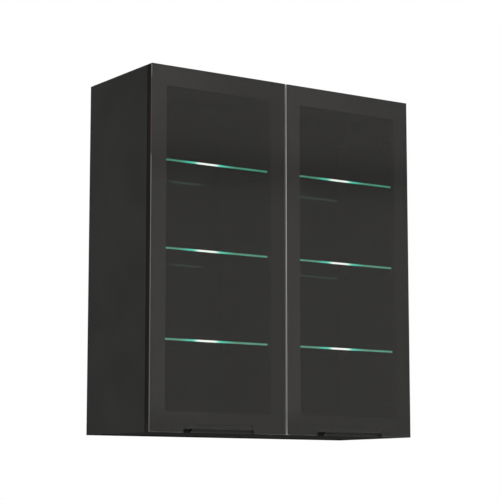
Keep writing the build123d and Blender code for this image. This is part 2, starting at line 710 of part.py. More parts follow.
def hanger_housing(side):
    """A box in the upper rear corner that carries the hook and its two adjusting screws."""
    inner, outer = side * (INNER - HANGER_WIDTH), side * INNER
    housing = block(inner, outer, HANGER_FRONT, BACK_FRONT, BAY_TOP - HANGER_HEIGHT, BAY_TOP)
    front_edges = housing.edges().filter_by(Axis.Z).sort_by(Axis.Y)[:2]
    housing = fillet(front_edges, HANGER_RADIUS)
    half = HOOK_WIDTH / 2 + HOOK_SIDE_PLAY
    cavity_low, cavity_high = HOOK_CAVITY
    housing -= block(
        side * (HANGER_X - half), side * (HANGER_X + half),
        HANGER_FRONT + HOOK_CAVITY_FROM_FRONT, BACK_FRONT,
        HOOK_LEVEL + cavity_low, HOOK_LEVEL + cavity_high,
    )
    start, end = HANGER_ADJUSTER_SPAN
    for offset in HANGER_ADJUSTERS:
        housing -= rod_y(
            HANGER_FRONT, HANGER_FRONT + start + end, side * HANGER_X, HOOK_LEVEL + offset,
            HANGER_ADJUSTER_RADIUS + SLIP,
        )
    for y, z in hanger_screw_places():
        housing -= rod_x(inner, outer, y, z, THREAD_RADIUS + SLIP)
    return housing


def hanger_hook(side):
    """A bent steel strip that reaches through the back board and turns down behind a wall rail."""
    x0, x1 = side * (HANGER_X - HOOK_WIDTH / 2), side * (HANGER_X + HOOK_WIDTH / 2)
    tip = -HOOK_FROM_WALL
    level = HOOK_LEVEL + HOOK_THICK / 2
    hook = block(x0, x1, HANGER_FRONT + HOOK_FROM_FRONT, tip, level - HOOK_THICK, level)
    return hook + block(x0, x1, tip - HOOK_THICK, tip, level - HOOK_LIP, level)


def hanger_adjusters(side):
    """Two adjusting screws with crossed slots, one above the hook and one below it."""
    start, end = HANGER_ADJUSTER_SPAN
    long_half, short_half, depth = CROSS_SLOT
    top = HANGER_FRONT + start
    x = side * HANGER_X
    screws = []
    for z in [HOOK_LEVEL + offset for offset in HANGER_ADJUSTERS]:
        screw = rod_y(top, HANGER_FRONT + end, x, z, HANGER_ADJUSTER_RADIUS)
        for half_x, half_z in ((long_half, short_half), (short_half, long_half)):
            screw -= block(x - half_x, x + half_x, top, top + depth, z - half_z, z + half_z)
        screws.append(screw)
    return screws


def hanger_screws(side):
    seat, tip = side * (INNER - HANGER_WIDTH), side * (INNER + THREAD_IN_SIDE)
    return [screw_x(seat, tip, y, z, HANGER_SCREW_HEAD) for y, z in hanger_screw_places()]


def cable_grommet(side):
    """A rubber ring in the back board that a lead can pass through."""
    x, thick = side * BAY_MIDDLE, GROMMET_FLANGE_THICK
    ring = rod_y(BACK_FRONT - thick, BACK_FRONT, x, GROMMET_HEIGHT, GROMMET_FLANGE)
    ring += rod_y(BACK_FRONT, BACK_REAR, x, GROMMET_HEIGHT, GROMMET_NECK)
    ring += rod_y(BACK_REAR, BACK_REAR + thick, x, GROMMET_HEIGHT, GROMMET_FLANGE)
    return ring - rod_y(BACK_FRONT - thick, BACK_REAR + thick, x, GROMMET_HEIGHT, GROMMET_BORE)


# ---- assembly ----
def save_carcass():
    for name, side in SIDES.items():
        save(f"{name}_side_panel", side_panel(side))
    save("top_panel", cross_panel(BAY_TOP, cam_face=HEIGHT, inner_face=BAY_TOP, outer_face=HEIGHT))
    save("bottom_panel", cross_panel(0, cam_face=BOARD, inner_face=BOARD, outer_face=0))
    save("centre_partition", centre_partition())
    save("back_panel", back_panel())
    locks, bolts, caps = cam_locks_bolts_and_caps()
    save("cam_locks", *locks)
    save("cam_bolts", *bolts)
    save("cam_caps", *caps)
    save("carcass_dowels", *carcass_dowels())
    save("partition_screws", *partition_screws())
    both = SIDES.values()
    save("hanger_housings", *[hanger_housing(side) for side in both])
    save("hanger_hooks", *[hanger_hook(side) for side in both])
    save("hanger_adjusters", *[screw for side in both for screw in hanger_adjusters(side)])
    save("hanger_screws", *[screw for side in both for screw in hanger_screws(side)])
    save("cable_grommets", *[cable_grommet(side) for side in both])


def save_shelves(name, side):
    for level, height in SHELF_HEIGHTS.items():
        save(f"{name}_{level}_shelf", shelf(side, height))
    save(f"{name}_shelf_pegs", *shelf_pegs(side))
    clips, lenses = light_clips_and_lenses(side)
    save(f"{name}_light_clips", *clips)
    save(f"{name}_light_lenses", *lenses)


def save_hinges(name, side):
    save(f"{name}_hinge_plates", *[hinge_plate(side, z) for z in HINGE_HEIGHTS])
    save(f"{name}_hinge_arms", *[hinge_arm(side, z) for z in HINGE_HEIGHTS])
    save(f"{name}_hinge_screws", *[screw for z in HINGE_HEIGHTS for screw in hinge_screws(side, z)])
    save(f"{name}_door_hinge_cups", *[hinge_cup(side, z) for z in HINGE_HEIGHTS])
    save(f"{name}_door_hinge_pins", *[hinge_pin(side, z) for z in HINGE_HEIGHTS])
    save(f"{name}_door_cup_screws", *[screw for z in HINGE_HEIGHTS for screw in cup_screws(side, z)])


def save_door(name, side):
    save(f"{name}_door_hinge_stile", hinge_stile(side))
    save(f"{name}_door_meeting_stile", meeting_stile(side))
    save(f"{name}_door_top_rail", rail(side, HEIGHT - RAIL))
    save(f"{name}_door_bottom_rail", bottom_rail(side))
    save(f"{name}_door_dowels", *frame_dowels(side))
    save(f"{name}_door_glass", pane(side))
    save(f"{name}_door_grip", grip_plate(side))
    save(f"{name}_door_grip_screws", *grip_screws(side))
    save(f"{name}_door_bumpers", *bumpers(side))


os.makedirs("parts", exist_ok=True)
save_carcass()
for side_name, side_sign in SIDES.items():
    save_shelves(side_name, side_sign)
    save_hinges(side_name, side_sign)
    save_door(side_name, side_sign)
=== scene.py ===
import math

import bmesh
import bpy
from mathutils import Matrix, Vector


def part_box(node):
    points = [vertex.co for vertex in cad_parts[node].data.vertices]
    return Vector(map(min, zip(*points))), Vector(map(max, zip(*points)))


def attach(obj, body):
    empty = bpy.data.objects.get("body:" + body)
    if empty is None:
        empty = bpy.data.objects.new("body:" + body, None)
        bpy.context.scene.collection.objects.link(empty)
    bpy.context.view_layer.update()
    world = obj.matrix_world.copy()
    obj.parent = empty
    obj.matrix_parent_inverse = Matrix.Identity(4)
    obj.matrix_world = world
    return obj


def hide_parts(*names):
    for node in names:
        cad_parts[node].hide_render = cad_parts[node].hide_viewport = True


# The looks of a wall-hung china cabinet with two tinted glass doors and six lit glass shelves.
# Everything is in metres in the cabinet's own frame: +Y points into the wall, the doors face -Y.

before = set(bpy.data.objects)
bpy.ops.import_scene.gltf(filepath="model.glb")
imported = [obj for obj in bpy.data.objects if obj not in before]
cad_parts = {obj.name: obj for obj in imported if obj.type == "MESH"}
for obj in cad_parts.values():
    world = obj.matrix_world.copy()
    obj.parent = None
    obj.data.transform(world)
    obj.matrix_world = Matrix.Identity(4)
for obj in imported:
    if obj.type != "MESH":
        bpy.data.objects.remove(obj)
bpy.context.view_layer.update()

MM = 0.001
SIDES = ("left", "right")
SHELF_LEVELS = ("top", "middle", "bottom")
SAME_PLACE = 1e-6
SQUARE_ON = 0.999
MOSTLY_FACING = 0.7
PATTERN_RANGE = (0.3, 0.7)
MIDDLE_RANGE = (0.35, 0.65)

# ---- camera ----
CAMERA_PLACE = (-2.5097, -3.8582, -0.1429)
CAMERA_TURN = 0.5945
CAMERA_RISE = 0.1396
CAMERA_LENS = 124.2
CAMERA_SENSOR = 36.0
CAMERA_FAR = 100.0

# ---- studio: an edge is where the light changes, as a cosine or a height of a unit direction ----
FLOOR_LEVEL = -2.2
FLOOR_HALF = 11.0
ROOM_WHITE = (1.0, 0.985, 0.955, 1.0)
TOWARDS_DIM_SIDE = (0.55, -0.83, 0.1)
DIM_SIDE_EDGE = (0.55, 0.95)
DIM_SIDE_LIGHT = 0.50
TOWARDS_WALL = (0.45, 0.89, 0.0)
WALL_EDGE = (0.5, 0.8)
WALL_HEIGHT = (0.22, 0.42)
WALL_LIGHT = 0.25
CEILING_EDGE = (0.21, 0.27)
CEILING_EXTRA = 0.09
BAND_MIDDLE = 0.5165
BAND_TILT = 0.105
BAND_BOTTOM = (0.1836, 0.1866)
BAND_TOP = (0.1896, 0.1976)
BAND_TINT = (0.06, 0.05, 0.04, 1.0)

# ---- light in the shelves: half widths of its bright stretches, and linear colours of light ----
HOT_SPOT_SHIFT = {"left": -0.021, "right": 0.0}
HOT_HALF = (0.021, 0.041)
BRIGHT_HALF = (0.030, 0.085)
HOT_WHITE = (1.72, 1.85, 1.78, 1.0)
BRIGHT_GREEN = (0.12, 1.18, 0.88, 1.0)
EDGE_GREENS = ((0.066, 0.36, 0.225, 1.0), (0.075, 0.49, 0.32, 1.0))
PALE_GREEN = (0.60, 0.75, 0.70, 1.0)
GLOW_WHITENESS = {"top": 0.0, "middle": 0.10, "bottom": 0.15}
EDGE_GLOW_HALF = 2.5 * MM
FRONT_EDGE_DEPTH = 0.8 * MM
REAR_EDGE_DEPTH = 0.1 * MM
REAR_TINT = (0.5, 1.0, 0.75)
REAR_LIGHT = {"top": 0.26, "middle": 0.25, "bottom": 0.0}
REAR_LIGHT_END = {"left": 0.126, "right": 0.186}
REAR_LIGHT_RISE = 0.03
REAR_LIGHT_FALL = 0.01

# ---- carcass ----
LAMINATE_ROUGHNESS = (0.67, 0.77)
UNDERSIDE_SHADE = (-0.115, -0.02)

# ---- door frames and finger grips: a fade is the front's grey at the door's bottom and top, darker at
# the bottom as painted shade, and the edges of the pale painted highlight are shares of the door's
# width and height ----
FRAME_FRONT_SKIN = 0.05 * MM
FRAME_ROUGHNESS = (0.62, 0.74)
FRAME_PAINTED_FADE = {"left": (0.043, 0.047), "right": (0.026, 0.055)}
FRAME_PAINTED_LIGHT = (0.112, 0.111, 0.108, 1.0)
PAINTED_LIGHT_ACROSS = (0.08, 0.75)
PAINTED_LIGHT_ABOVE = (0.02, 0.09)
GRIP_END_POCKET = 36.0 * MM
GRIP_POCKET_TOP = 23.0 * MM
GRIP_SQUARE_END = 5.0 * MM

# ---- glass ----
GLASS_IOR = 1.5
GLASS_ROUGHNESS = 0.08
PANE_GLUE_LINE = 0.15 * MM
PANE_ARRIS = 0.5 * MM
# Distances from the middle over which the panes' meeting edges get painted light.
MEETING_EDGE = (4.0 * MM, 10.0 * MM)
# Heights of a reddish stretch of painted shade on the panes' outer edges.
SHADED_EDGE_LOW = 0.672
SHADED_EDGE_HIGH = 0.866
SHADED_EDGE_BLUR = 2.0 * MM
# How far up and past the notch's ends the painted shade at the finger notch reaches.
NOTCH_EDGE_TOP = (10.0 * MM, 14.0 * MM)
NOTCH_EDGE_SPARE = (1.0 * MM, 4.0 * MM)
NOTCH_CORNER = 3.0 * MM
NOTCH_CORNER_STEPS = 6
NOTCH_FROM_SIDE = 10.0 * MM


# ---------------------------------------------------------------- node graphs
class Graph:
    """Builds one material's or the world's nodes with short calls that return output sockets."""

    def __init__(self, tree):
        self.tree = tree
        tree.nodes.clear()

    def add(self, kind, **settings):
        node = self.tree.nodes.new(kind)
        for name, value in settings.items():
            setattr(node, name, value)
        return node

    def feed(self, socket, value):
        """Sets a socket's own value, or links it when the value is another socket."""
        if isinstance(value, bpy.types.NodeSocket):
            self.tree.links.new(value, socket)
        elif value is not None:
            socket.default_value = value

    def place(self):
        """Where the point is, in metres, on the object at rest."""
        return self.add("ShaderNodeTexCoord").outputs["Object"]

    def axes(self, vector):
        parts = self.add("ShaderNodeSeparateXYZ")
        self.feed(parts.inputs[0], vector)
        return parts.outputs[0], parts.outputs[1], parts.outputs[2]

    def math(self, operation, a, b=None, c=None):
        node = self.add("ShaderNodeMath", operation=operation)
        for socket, value in zip(node.inputs, (a, b, c)):
            self.feed(socket, value)
        return node.outputs[0]

    def both(self, first, second):
        return self.math("MULTIPLY", first, second)

    def step(self, value, low, high, first=0.0, last=1.0):
        """A smooth change from first to last as value goes from low to high."""
        node = self.add("ShaderNodeMapRange", interpolation_type="SMOOTHSTEP", clamp=True)
        for socket, item in zip(node.inputs, (value, low, high, first, last)):
            self.feed(socket, item)
        return node.outputs[0]

    def over(self, pattern, first=0.0, last=1.0):
        """A change from first to last over the range in which a pattern mostly lies."""
        return self.step(pattern, *PATTERN_RANGE, first, last)

    def until(self, value, low, high):
        """1 below low, 0 above high, and a smooth change between."""
        return self.step(value, low, high, 1.0, 0.0)

    def within(self, value, low, high, blur):
        """1 where value is between low and high, blurred over a margin at both ends, and 0 outside."""
        return self.both(
            self.step(value, low - blur, low + blur), self.until(value, high - blur, high + blur)
        )

    def distance(self, value, centre):
        return self.math("ABSOLUTE", self.math("SUBTRACT", value, centre))

    def towards(self, direction, target):
        """The cosine between a direction and a target direction."""
        node = self.add("ShaderNodeVectorMath", operation="DOT_PRODUCT")
        self.feed(node.inputs[0], direction)
        node.inputs[1].default_value = Vector(target).normalized()
        return node.outputs["Value"]

    def scaled(self, vector, factors):
        node = self.add("ShaderNodeVectorMath", operation="MULTIPLY")
        self.feed(node.inputs[0], vector)
        node.inputs[1].default_value = factors
        return node.outputs[0]

    def noise(self, vector, scale, detail=3.0, roughness=0.5):
        node = self.add("ShaderNodeTexNoise")
        self.feed(node.inputs["Vector"], vector)
        node.inputs["Scale"].default_value = scale
        node.inputs["Detail"].default_value = detail
        node.inputs["Roughness"].default_value = roughness
        return node.outputs["Fac"]

    def cells(self, vector, scale):
        node = self.add("ShaderNodeTexVoronoi")
        self.feed(node.inputs["Vector"], vector)
        node.inputs["Scale"].default_value = scale
        return node.outputs["Distance"]

    def blend(self, first, second, share):
        """A weighted sum of two patterns: the second has the share, and the first the rest."""
        return self.math("MULTIPLY_ADD", first, 1.0 - share, self.math("MULTIPLY", second, share))

    def mix(self, share, first, second, blend="MIX"):
        node = self.add("ShaderNodeMix", data_type="RGBA", blend_type=blend)
        colour_a, colour_b = node.inputs[6], node.inputs[7]
        self.feed(node.inputs[0], share)
        self.feed(colour_a, first)
        self.feed(colour_b, second)
        return node.outputs[2]

    def bump(self, height, depth, strength=1.0):
        node = self.add("ShaderNodeBump")
        self.feed(node.inputs["Height"], height)
        node.inputs["Distance"].default_value = depth
        node.inputs["Strength"].default_value = strength
        return node.outputs[0]

    def facing(self, axis):
        """How far the surface faces along an axis of the object at rest, from -1 to 1."""
        turn = self.add("ShaderNodeVectorTransform", vector_type="NORMAL")
        turn.convert_from, turn.convert_to = "WORLD", "OBJECT"
        self.feed(turn.inputs[0], self.add("ShaderNodeNewGeometry").outputs["True Normal"])
        return self.axes(turn.outputs[0])[axis]

    def ray(self, kind):
        return self.add("ShaderNodeLightPath").outputs[kind]

    def principled(self, **inputs):
        node = self.add("ShaderNodeBsdfPrincipled")
        for name, value in inputs.items():
            self.feed(node.inputs[name.replace("_", " ")], value)
        return node.outputs[0]

    def mix_shader(self, share, first, second):
        node = self.add("ShaderNodeMixShader")
        for socket, value in zip(node.inputs, (share, first, second)):
            self.feed(socket, value)
        return node.outputs[0]

    def surface(self, shader):
        self.feed(self.add("ShaderNodeOutputMaterial").inputs["Surface"], shader)

    def paint(self, **inputs):
        """One principled shader as the whole surface."""
        self.surface(self.principled(**inputs))


def colour(red, green, blue):
    return (red, green, blue, 1.0)


def grey(level):
    return colour(level, level, level)


def toned(base, factor):
    """A lighter or darker tone of a colour."""
    return colour(*(min(1.0, channel * factor) for channel in base[:3]))


def material(name):
    made = bpy.data.materials.new(name)
    made.use_nodes = True
    return made, Graph(made.node_tree)


# ---------------------------------------------------------------- boards
def pearl_grain(graph, base):
    """The fine pearl grain of a board's facing over a slow unevenness of tone: colour and grain."""
    place = graph.place()
    pearl = graph.noise(place, scale=900.0, detail=4.0, roughness=0.6)
    slow = graph.noise(place, scale=5.0, detail=2.0)
    tone = graph.step(graph.blend(slow, pearl, 0.5), *MIDDLE_RANGE)
    return graph.mix(tone, toned(base, 0.88), toned(base, 1.12)), pearl


def laminated_board(name, base):
    """Super-matt anthracite melamine, whose underside is in shade along the wall."""
    made, graph = material(name)
    body, pearl = pearl_grain(graph, base)
    _, y, _ = graph.axes(graph.place())
    is_under = graph.math("LESS_THAN", graph.facing(2), -MOSTLY_FACING)
    in_shade = graph.both(is_under, graph.step(y, *UNDERSIDE_SHADE))
    graph.paint(
        Base_Color=graph.mix(in_shade, body, grey(0.007)),
        Roughness=graph.over(pearl, *LAMINATE_ROUGHNESS),
        Specular_IOR_Level=0.0,
        Normal=graph.bump(pearl, 0.03 * MM),
    )
    return made


def frame_front_painted_light(graph, glass_box, painted_fade, pearl):
    """The grey of a door frame's front, with a painted highlight at the left that fades to the right,
    and painted shade that darkens it towards the bottom.
    """
    low, high = glass_box
    x, _, z = graph.axes(graph.place())
    # Painted light and shade: a pale painted highlight on the left of the front, above its bottom,
    # fades to the right into a grey that is darker towards the bottom.
    from_left = graph.until(x, *(low.x + share * (high.x - low.x) for share in PAINTED_LIGHT_ACROSS))
    from_below = graph.step(z, *(low.z + share * (high.z - low.z) for share in PAINTED_LIGHT_ABOVE))
    shaded_by_height = graph.mix(graph.step(z, low.z, high.z), grey(painted_fade[0]), grey(painted_fade[1]))
    front = graph.mix(graph.both(from_left, from_below), shaded_by_height, FRAME_PAINTED_LIGHT)
    return graph.mix(graph.over(pearl, 0.0, 0.12), front, grey(0.04))


def door_frame_board(name, glass_box, opening, grip_end, painted_fade):
    """A black foiled board whose front, glued to the pane, is a paler grey with painted light and
    shade over it. The edges round the opening are a lighter grey as painted light, except in the end
    pocket of the finger grip, where they stay near black."""
    made, graph = material(name)
    low, high = glass_box
    inner_left, inner_right = opening
    x, y, z = graph.axes(graph.place())
    black, pearl = pearl_grain(graph, grey(0.016))
    side_on = graph.math("GREATER_THAN", graph.math("ABSOLUTE", graph.facing(0)), MOSTLY_FACING)
    in_opening = graph.both(
        graph.math("GREATER_THAN", x, inner_left - MM),
        graph.math("LESS_THAN", x, inner_right + MM),
    )
    # Painted light: the edges round the opening are a lighter grey than the black board.
    edges = graph.mix(graph.both(side_on, in_opening), black, grey(0.045))
    # No painted light in the finger grip's end pocket, which stays near black.
    in_pocket = graph.both(
        graph.until(z, low.z + GRIP_POCKET_TOP - MM, low.z + GRIP_POCKET_TOP + MM),
        graph.math("LESS_THAN", x, grip_end),
    )
    edges = graph.mix(in_pocket, edges, grey(0.020))
    is_front = graph.math("LESS_THAN", y, high.y + FRAME_FRONT_SKIN)
    graph.paint(
        Base_Color=graph.mix(is_front, edges, frame_front_painted_light(graph, glass_box, painted_fade, pearl)),
        Roughness=graph.over(pearl, *FRAME_ROUGHNESS),
        Specular_IOR_Level=0.0,
        Normal=graph.bump(pearl, 0.025 * MM),
    )
    return made


def hardboard():
    """Black lacquer on the side that faces the shelves, and raw brown fibre behind."""
    made, graph = material("hardboard")
    place = graph.place()
    along = graph.scaled(place, (1.0, 1.0, 0.35))
    fibre = graph.noise(along, scale=700.0, detail=5.0, roughness=0.65)
    blotch = graph.noise(place, scale=14.0)
    tone = graph.step(graph.blend(fibre, blotch, 0.3), *MIDDLE_RANGE)
    raw = graph.mix(tone, colour(0.135, 0.075, 0.040), colour(0.235, 0.145, 0.085))
    black = graph.mix(graph.over(fibre), grey(0.014), grey(0.018))
    is_rear = graph.step(graph.facing(1), 0.2, 0.5)
    graph.paint(
        Base_Color=graph.mix(is_rear, black, raw),
        Roughness=graph.step(is_rear, 0.0, 1.0, 0.42, 0.9),
        Specular_IOR_Level=0.3,
        Normal=graph.bump(fibre, 0.05 * MM, 0.8),
    )
    return made


def beech_wood():
    """Plain beech with its grain and short dark flecks along X."""
    made, graph = material("beech_wood")
    place = graph.place()
    grain = graph.noise(graph.scaled(place, (0.12, 1.0, 1.0)), scale=900.0, detail=4.0)
    fleck = graph.cells(graph.scaled(place, (0.25, 1.0, 1.0)), scale=1100.0)
    body = graph.mix(graph.over(grain), colour(0.50, 0.30, 0.16), colour(0.66, 0.44, 0.26))
    graph.paint(
        Base_Color=graph.mix(
            graph.step(fleck, 0.0, 0.22, 0.4, 0.0), body, colour(0.30, 0.16, 0.08)
        ),
        Roughness=0.62,
        Normal=graph.bump(grain, 0.06 * MM, 0.7),
    )
    return made


# ---------------------------------------------------------------- glass
def open_to_lamps(graph, glass, tint):
    """Lets light from outside pass straight through the glass, so that it lights what is behind."""
    straight = graph.add("ShaderNodeBsdfTransparent")
    straight.inputs["Color"].default_value = tint
    return graph.mix_shader(graph.ray("Is Shadow Ray"), glass, straight.outputs[0])


def tinted_glass():
    """Grey body-tinted float glass."""
    made, graph = material("tinted_glass")
    depth = graph.noise(graph.place(), scale=3.0, detail=1.0)
    tint = graph.mix(graph.over(depth), colour(0.55, 0.545, 0.53), colour(0.57, 0.565, 0.55))
    glass = graph.principled(
        Base_Color=tint, Roughness=GLASS_ROUGHNESS, IOR=GLASS_IOR, Transmission_Weight=1.0
    )
    graph.surface(open_to_lamps(graph, glass, colour(0.75, 0.745, 0.735)))
    return made


def ground_glass_edge(notch_x, notch_half):
    """The satin edge of a pane, ground and polished. It is paler where the doors meet, as painted
    light, has painted shade in the finger notch, and a reddish stretch of painted shade near the top
    of its outer side."""
    made, graph = material("ground_glass_edge")
    place = graph.place()
    rub = graph.noise(graph.scaled(place, (1.0, 6.0, 1.0)), scale=260.0)
    x, _, z = graph.axes(place)
    from_middle = graph.math("ABSOLUTE", x)
    # Painted shade: a reddish, darker stretch near the top of the outer edges.
    is_shaded_stretch = graph.within(z, SHADED_EDGE_LOW, SHADED_EDGE_HIGH, SHADED_EDGE_BLUR)
    outer = graph.mix(is_shaded_stretch, grey(0.160), colour(0.062, 0.024, 0.021))
    # Painted light: the edges where the doors meet are a pale grey.
    upright = graph.mix(graph.until(from_middle, *MEETING_EDGE), outer, grey(0.72))
    from_notch = graph.distance(from_middle, notch_x)
    # Painted shade: the edge is near black in and beside the finger notch.
    notch_shade = graph.both(
        graph.until(z, *NOTCH_EDGE_TOP),
        graph.until(from_notch, *(notch_half + spare for spare in NOTCH_EDGE_SPARE)),
    )
    plain = graph.mix(notch_shade, upright, grey(0.022))
    graph.paint(
        Base_Color=graph.mix(graph.over(rub, 0.0, 0.2), plain, grey(0.02)),
        Roughness=graph.over(rub, 0.25, 0.40),
        Specular_IOR_Level=0.2,
        Normal=graph.bump(rub, 0.02 * MM),
    )
    return made


def front_edge_glow(graph, side, level, box, clip_x):
    """Green light along a shelf's front edge, which turns white in front of the clip."""
    low, high = box
    x, _, z = graph.axes(graph.place())
    off = graph.distance(x, clip_x + HOT_SPOT_SHIFT[side])
    along = graph.scaled(graph.place(), (1.0, 0.0, 0.0))
    uneven = graph.noise(along, scale=26.0, detail=2.0)
    green = graph.mix(graph.step(uneven, *MIDDLE_RANGE), *EDGE_GREENS)
    green = graph.mix(GLOW_WHITENESS[level], green, PALE_GREEN)
    green = graph.mix(graph.until(off, *BRIGHT_HALF), green, BRIGHT_GREEN)
    glow = graph.mix(graph.until(off, *HOT_HALF), green, HOT_WHITE)
    from_middle = graph.distance(z, (low.z + high.z) / 2)
    polished = graph.until(from_middle, EDGE_GLOW_HALF - 0.2 * MM, EDGE_GLOW_HALF)
    return graph.mix(polished, grey(0.0), glow)


def rear_edge_glow(graph, side, level, clip_x):
    """A faint line along a shelf's rear edge, on the right of the clip."""
    x, _, _ = graph.axes(graph.place())
    end = clip_x + REAR_LIGHT_END[side]
    past_clip = graph.both(
        graph.step(x, clip_x, clip_x + REAR_LIGHT_RISE),
        graph.until(x, end - REAR_LIGHT_FALL, end),
    )
    faint = colour(*(REAR_LIGHT[level] * share for share in REAR_TINT))
    return graph.mix(past_clip, grey(0.0), faint)


def shelf_glass(side, level, box, clip_x):
    """Clear float glass, faintly green, with its front and rear edges lit by the clip."""
    made, graph = material(f"{side}_{level}_shelf_glass")
    low, high = box
    _, y, _ = graph.axes(graph.place())
    is_front = graph.math("LESS_THAN", y, low.y + FRONT_EDGE_DEPTH)
    is_rear = graph.math("GREATER_THAN", y, high.y - REAR_EDGE_DEPTH)
    glow = graph.mix(
        is_front,
        rear_edge_glow(graph, side, level, clip_x),
        front_edge_glow(graph, side, level, box, clip_x),
    )
    glass = graph.principled(
        Base_Color=colour(0.93, 0.975, 0.955),
        Roughness=GLASS_ROUGHNESS,
        IOR=GLASS_IOR,
        Transmission_Weight=1.0,
    )
    edge = graph.principled(
        Base_Color=colour(0.02, 0.10, 0.07),
        Roughness=0.2,
        Emission_Color=glow,
        Emission_Strength=1.0,
    )
    both = graph.mix_shader(graph.math("MAXIMUM", is_front, is_rear), glass, edge)
    graph.surface(open_to_lamps(graph, both, colour(0.95, 0.985, 0.97)))
    return made


def light_lens():
    """An opal strip with brighter dots where its lamps sit."""
    made, graph = material("light_lens")
    dots = graph.cells(graph.scaled(graph.place(), (1.0, 0.0, 0.0)), scale=150.0)
    graph.paint(
        Base_Color=colour(0.8, 0.82, 0.8),
        Roughness=0.5,
        Emission_Color=graph.mix(
            graph.step(dots, 0.0, 0.5), colour(1.0, 1.0, 0.97), colour(0.72, 0.82, 0.84)
        ),
        Emission_Strength=0.6,
    )
    return made


# ---------------------------------------------------------------- metal
def plated_metal(name, base, roughness, streak=(1.0, 1.0, 0.15), scale=1500.0):
    """Plated or cast metal with fine rubbing marks that run one way."""
    made, graph = material(name)
    place = graph.place()
    rub = graph.noise(graph.scaled(place, streak), scale, detail=4.0, roughness=0.6)
    dull = graph.noise(place, scale=120.0)
    wear = graph.blend(rub, dull, 0.4)
    graph.paint(
        Base_Color=graph.mix(graph.step(dull, 0.35, 0.7), toned(base, 0.86), base),
        Metallic=1.0,
        Roughness=graph.over(wear, roughness * 0.75, roughness * 1.3),
        Normal=graph.bump(rub, 0.012 * MM, 0.6),
    )
    return made


def anodised_grip(name, plate_start):
    """Dark anodised aluminium, brushed along its length, with bare metal on the slanted cut."""
    made, graph = material(name)
    place = graph.place()
    brush = graph.noise(graph.scaled(place, (0.02, 1.0, 1.0)), scale=2600.0)
    body = graph.mix(graph.over(brush), colour(0.032, 0.033, 0.031), colour(0.048, 0.049, 0.046))
    x, _, _ = graph.axes(place)
    at_cut = graph.both(
        graph.until(graph.facing(0), -0.5, -0.4),
        graph.math("GREATER_THAN", x, plate_start + GRIP_SQUARE_END),
    )
    graph.paint(
        Base_Color=graph.mix(at_cut, body, grey(0.70)),
        Metallic=graph.step(at_cut, 0.0, 1.0, 0.3, 0.9),
        Roughness=graph.over(brush, 0.45, 0.6),
        Normal=graph.bump(brush, 0.02 * MM, 0.5),
    )
    return made


# ---------------------------------------------------------------- plastic and rubber
def moulded(name, base, roughness, scale=1300.0):
    """Moulded plastic or rubber with a fine eroded texture from its mould."""
    made, graph = material(name)
    place = graph.place()
    pits = graph.cells(place, scale)
    cloud = graph.noise(place, scale=60.0, detail=2.0)
    graph.paint(
        Base_Color=graph.mix(graph.over(cloud), base, toned(base, 1.25)),
        Roughness=graph.step(pits, 0.0, 0.7, roughness + 0.08, roughness - 0.05),
        Specular_IOR_Level=0.4,
        Normal=graph.bump(pits, 0.03 * MM, 0.6),
    )
    return made


# ---------------------------------------------------------------- studio
def studio_light():
    """A white room: even light all round and a little more from above, dimmer at the front right,
    which the doors mirror, with a dark slanting band there and a grey wall behind."""
    world = bpy.data.worlds.new("studio")
    bpy.context.scene.world = world
    world.use_nodes = True
    graph = Graph(world.node_tree)
    direction = graph.add("ShaderNodeTexCoord").outputs["Generated"]
    across, _, height = graph.axes(direction)
    dim_side = graph.towards(direction, TOWARDS_DIM_SIDE)
    light = graph.step(dim_side, *DIM_SIDE_EDGE, 1.0, DIM_SIDE_LIGHT)
    wall = graph.both(
        graph.step(graph.towards(direction, TOWARDS_WALL), *WALL_EDGE),
        graph.until(graph.math("ABSOLUTE", height), *WALL_HEIGHT),
    )
    light = graph.both(light, graph.step(wall, 0.0, 1.0, 1.0, WALL_LIGHT))
    light = graph.math("ADD", light, graph.step(height, *CEILING_EDGE, 0.0, CEILING_EXTRA))
    slanted = graph.math(
        "MULTIPLY_ADD", graph.math("SUBTRACT", across, BAND_MIDDLE), BAND_TILT, height
    )
    band = graph.both(graph.step(slanted, *BAND_BOTTOM), graph.until(slanted, *BAND_TOP))
    room = graph.mix(light, grey(0.0), ROOM_WHITE)
    room = graph.mix(band, room, BAND_TINT, "MULTIPLY")
    back = graph.add("ShaderNodeBackground")
    graph.feed(back.inputs["Color"], graph.mix(graph.ray("Is Camera Ray"), room, grey(1.0)))
    graph.feed(graph.add("ShaderNodeOutputWorld").inputs["Surface"], back.outputs[0])


def studio_floor():
    shape = bmesh.new()
    bmesh.ops.create_grid(shape, x_segments=1, y_segments=1, size=FLOOR_HALF)
    mesh = bpy.data.meshes.new("studio_floor")
    shape.to_mesh(mesh)
    shape.free()
    floor = bpy.data.objects.new("studio_floor", mesh)
    floor.location = (0, 0, FLOOR_LEVEL)
    bpy.context.scene.collection.objects.link(floor)
    made, graph = material("floor_paint")
    patch = graph.noise(graph.place(), scale=1.5, detail=2.0)
    graph.paint(
        Base_Color=graph.mix(graph.over(patch), grey(0.70), grey(0.73)),
        Roughness=0.9,
        Specular_IOR_Level=0.1,
    )
    mesh.materials.append(made)


def studio_camera():
    data = bpy.data.cameras.new("camera")
    data.lens = CAMERA_LENS
    data.sensor_width = CAMERA_SENSOR
    data.clip_end = CAMERA_FAR
    camera = bpy.data.objects.new("camera", data)
    camera.location = CAMERA_PLACE
    camera.rotation_euler = (math.pi / 2 + CAMERA_RISE, 0.0, -CAMERA_TURN)
    bpy.context.scene.collection.objects.link(camera)
    bpy.context.scene.camera = camera
    bpy.context.scene.view_settings.view_transform = "Standard"


